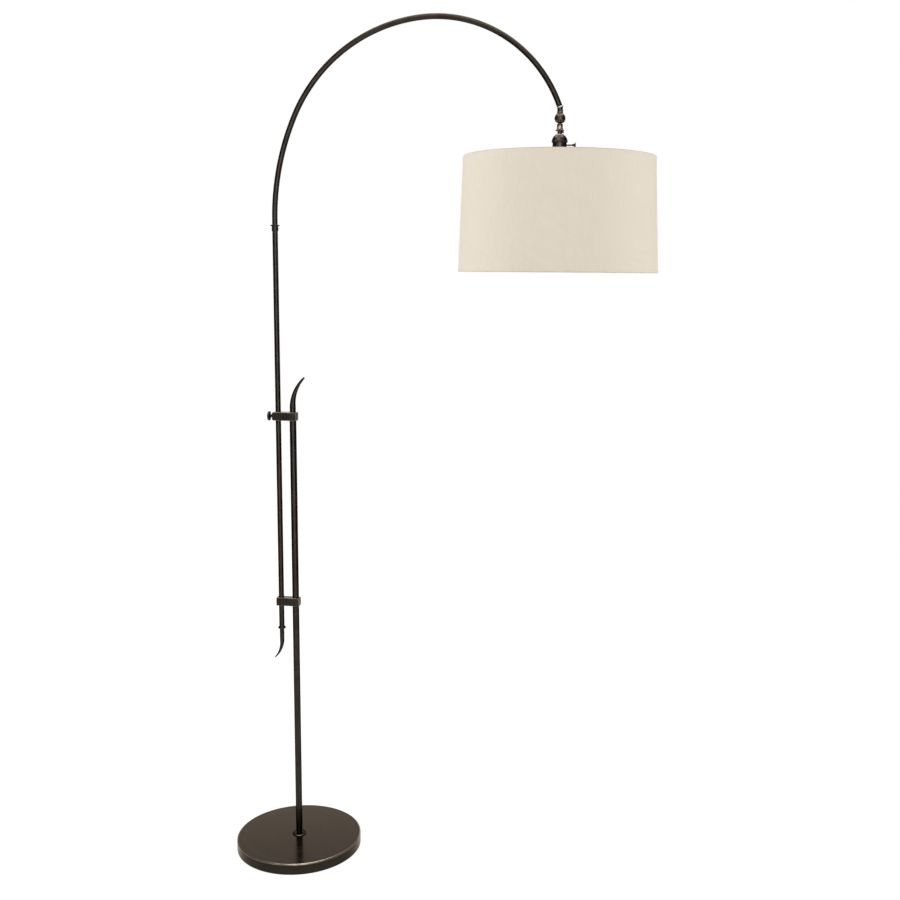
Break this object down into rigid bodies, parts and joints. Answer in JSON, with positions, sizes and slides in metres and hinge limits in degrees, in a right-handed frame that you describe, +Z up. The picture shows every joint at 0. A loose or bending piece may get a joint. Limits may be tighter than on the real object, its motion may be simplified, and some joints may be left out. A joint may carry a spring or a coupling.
{
  "type": "adjustable floor lamp",
  "caption": "Adjustable floor lamp with a round weighted base, a pole with bracket guides, a sliding arched arm, and a linen drum shade on a ball swivel.",
  "frame": {"origin": "centre of the round base, on the floor", "axes": "+Z up along the pole, +X from the pole towards the shade, +Y to the back"},
  "size_m": [1.0022, 0.45, 1.994],
  "materials": {
    "bronze": "satin",
    "worn_bronze": "satin",
    "cast_iron": "rough",
    "zinc": "satin",
    "brass": "satin",
    "felt": "matte",
    "sleeve": "matte",
    "linen": "matte",
    "lining": "matte",
    "paper_liner": "matte",
    "phenolic": "matte",
    "rubber": "matte",
    "glass": "frosted"
  },
  "bodies": {
    "base": {"base_cover": "bronze", "base_weight": "cast_iron", "base_felt": "felt", "base_stud": "zinc", "base_washer": "zinc", "base_nut": "zinc", "pole_collar": "bronze", "lower_pole": "bronze", "upper_pole": "bronze", "pole_plugs": "brass", "mid_nipple": "zinc", "top_nipple": "zinc", "lower_bracket": "bronze", "upper_bracket": "bronze", "pole_finial": "bronze"},
    "liners": {"lower_liner": "sleeve", "upper_liner": "sleeve"},
    "arm": {"slide_tube": "bronze", "arm_plugs": "brass", "coupling_collar": "bronze", "coupling_ring": "worn_bronze", "coupling_nipple": "zinc", "arch_tube": "bronze", "tail_bead": "bronze", "tail_nipple": "zinc", "tail_finial": "bronze", "cord_bushing": "rubber", "end_ring": "worn_bronze", "swivel_neck": "bronze"},
    "swivel": {"swivel_ball": "bronze", "swivel_cover": "bronze", "swivel_clip": "zinc", "tilt_pins": "zinc"},
    "head": {"swivel_knuckle": "worn_bronze", "swivel_bell": "worn_bronze", "lock_collar": "bronze", "lock_screw": "worn_bronze", "socket_cap": "bronze", "socket_shell": "bronze", "socket_liner": "paper_liner", "switch_body": "phenolic", "screw_shell": "brass", "centre_contact": "brass", "ring_nut": "bronze", "fitter_hub": "worn_bronze", "spider_arms": "worn_bronze", "top_wire": "worn_bronze", "bottom_wire": "worn_bronze", "shade_lining": "lining", "shade_linen": "linen", "bulb_contact": "zinc", "bulb_cap": "brass", "bulb_globe": "glass"},
    "key": {"key_shaft": "brass", "turn_key": "worn_bronze"},
    "clamp_pad": {"screw_pad": "brass"},
    "clamp_screw": {"thumb_screw": "worn_bronze"}
  },
  "joints": [
    {"name": "arm_swing", "type": "hinge", "parent": "base", "child": "liners", "pos_m": [-0.036, 0, 1.081], "axis": [0, 0, 1], "range_deg": [-180, 180]},
    {"name": "arm_slide", "type": "slide", "parent": "liners", "child": "arm", "axis": [0, 0, 1], "range_m": [-0.42, 0.05]},
    {"name": "shade_pan", "type": "hinge", "parent": "arm", "child": "swivel", "pos_m": [0.62468, 0, 1.76344], "axis": [0, 0, 1], "range_deg": [-165, 165]},
    {"name": "shade_tilt", "type": "hinge", "parent": "swivel", "child": "head", "pos_m": [0.62468, 0, 1.76344], "axis": [0, 1, 0], "range_deg": [-35, 35]},
    {"name": "key_turn", "type": "hinge", "parent": "head", "child": "key", "pos_m": [0.64468, 0, 1.70524], "axis": [1, 0, 0], "continuous": true},
    {"name": "clamp_travel", "type": "slide", "parent": "base", "child": "clamp_pad", "axis": [-1, 0, 0], "range_m": [0, 0.001]},
    {"name": "clamp_turn", "type": "hinge", "parent": "clamp_pad", "child": "clamp_screw", "pos_m": [-0.06, 0, 1.081], "axis": [-1, 0, 0], "range_deg": [0, 360]}
  ],
  "couplings": [
    {"joint": "clamp_turn", "follows": "clamp_travel", "rad_per_m": 6283.2}
  ]
}
